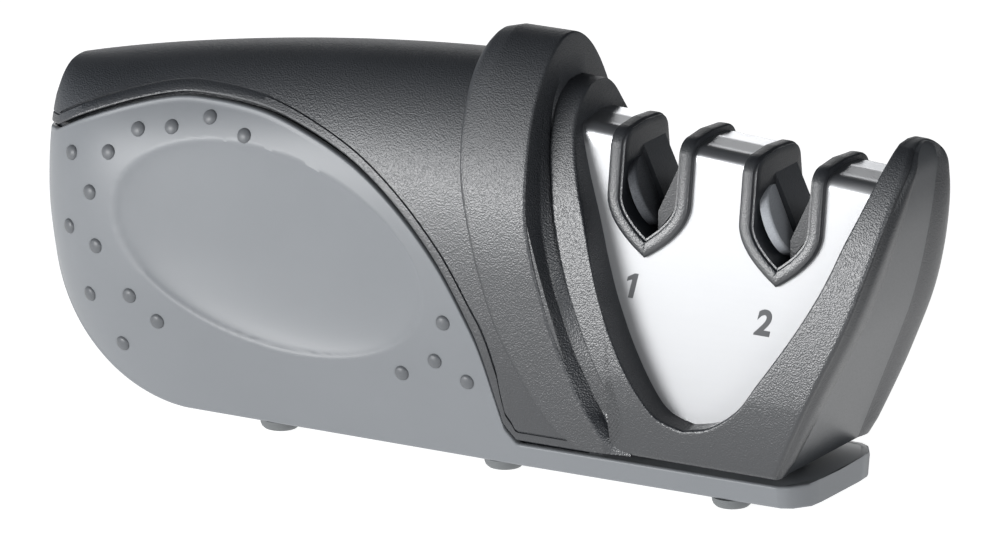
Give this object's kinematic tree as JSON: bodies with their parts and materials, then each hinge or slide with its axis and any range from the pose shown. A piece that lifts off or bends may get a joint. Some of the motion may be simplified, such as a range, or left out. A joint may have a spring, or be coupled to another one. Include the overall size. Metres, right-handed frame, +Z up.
{
  "type": "two-stage pull-through knife sharpener",
  "caption": "Hand-held two-stage knife sharpener: oval grip with thumb dishes, hooded head, bright saddle plate, tulip-shaped knife slots with crossed abrasive discs.",
  "frame": {"origin": "middle of the footprint at the height of the table", "axes": "+X from the rear of the handle to the head, -Y to the front, +Z up"},
  "size_m": [0.2065, 0.0462, 0.092],
  "materials": {
    "grey_plastic": "soft-touch grey moulding",
    "dark_plastic": "fine leather-grained charcoal moulding",
    "bright_steel": "satin bent sheet",
    "housing_plastic": "plain black moulding",
    "diamond_coat": "fine dark abrasive grit on a steel disc",
    "pale_ceramic": "pale fired abrasive disc",
    "hub_plastic": "plain dark moulding",
    "pin_steel": "turned steel",
    "rubber": "matt grey elastomer"
  },
  "bodies": {
    "shell": {"grip_shell": "grey_plastic", "handle_cover": "dark_plastic", "hood_collar": "dark_plastic", "head_frame": "dark_plastic", "disc_housing": "housing_plastic", "saddle_plate": "bright_steel", "slot_guide_1": "dark_plastic", "slot_guide_2": "dark_plastic", "disc_pin_1_front": "pin_steel", "disc_washer_1_front": "pin_steel", "disc_pin_1_rear": "pin_steel", "disc_washer_1_rear": "pin_steel", "disc_pin_2_front": "pin_steel", "disc_washer_2_front": "pin_steel", "disc_pin_2_rear": "pin_steel", "disc_washer_2_rear": "pin_steel", "foot_1_front": "rubber", "foot_1_rear": "rubber", "foot_2_front": "rubber", "foot_2_rear": "rubber", "foot_3_front": "rubber", "foot_3_rear": "rubber", "base_screw_1": "pin_steel", "base_screw_2": "pin_steel", "base_screw_3": "pin_steel", "base_screw_4": "pin_steel"},
    "wheel_1_front": {"disc_1_front": "diamond_coat", "disc_hub_1_front": "hub_plastic"},
    "wheel_1_rear": {"disc_1_rear": "diamond_coat", "disc_hub_1_rear": "hub_plastic"},
    "wheel_2_front": {"disc_2_front": "pale_ceramic", "disc_hub_2_front": "hub_plastic"},
    "wheel_2_rear": {"disc_2_rear": "pale_ceramic", "disc_hub_2_rear": "hub_plastic"}
  },
  "joints": [
    {"name": "disc_1_front_spin", "type": "hinge", "parent": "shell", "child": "wheel_1_front", "pos_m": [0.04, -0.0024, 0.06202], "axis": [0.9001, 0.1913, 0.3914], "continuous": true},
    {"name": "disc_1_rear_spin", "type": "hinge", "parent": "shell", "child": "wheel_1_rear", "pos_m": [0.0466, 0.0024, 0.06202], "axis": [-0.9001, -0.1913, 0.3914], "continuous": true},
    {"name": "disc_2_front_spin", "type": "hinge", "parent": "shell", "child": "wheel_2_front", "pos_m": [0.0714, -0.0024, 0.06048], "axis": [0.9001, 0.1913, 0.3914], "continuous": true},
    {"name": "disc_2_rear_spin", "type": "hinge", "parent": "shell", "child": "wheel_2_rear", "pos_m": [0.078, 0.0024, 0.06048], "axis": [-0.9001, -0.1913, 0.3914], "continuous": true}
  ]
}
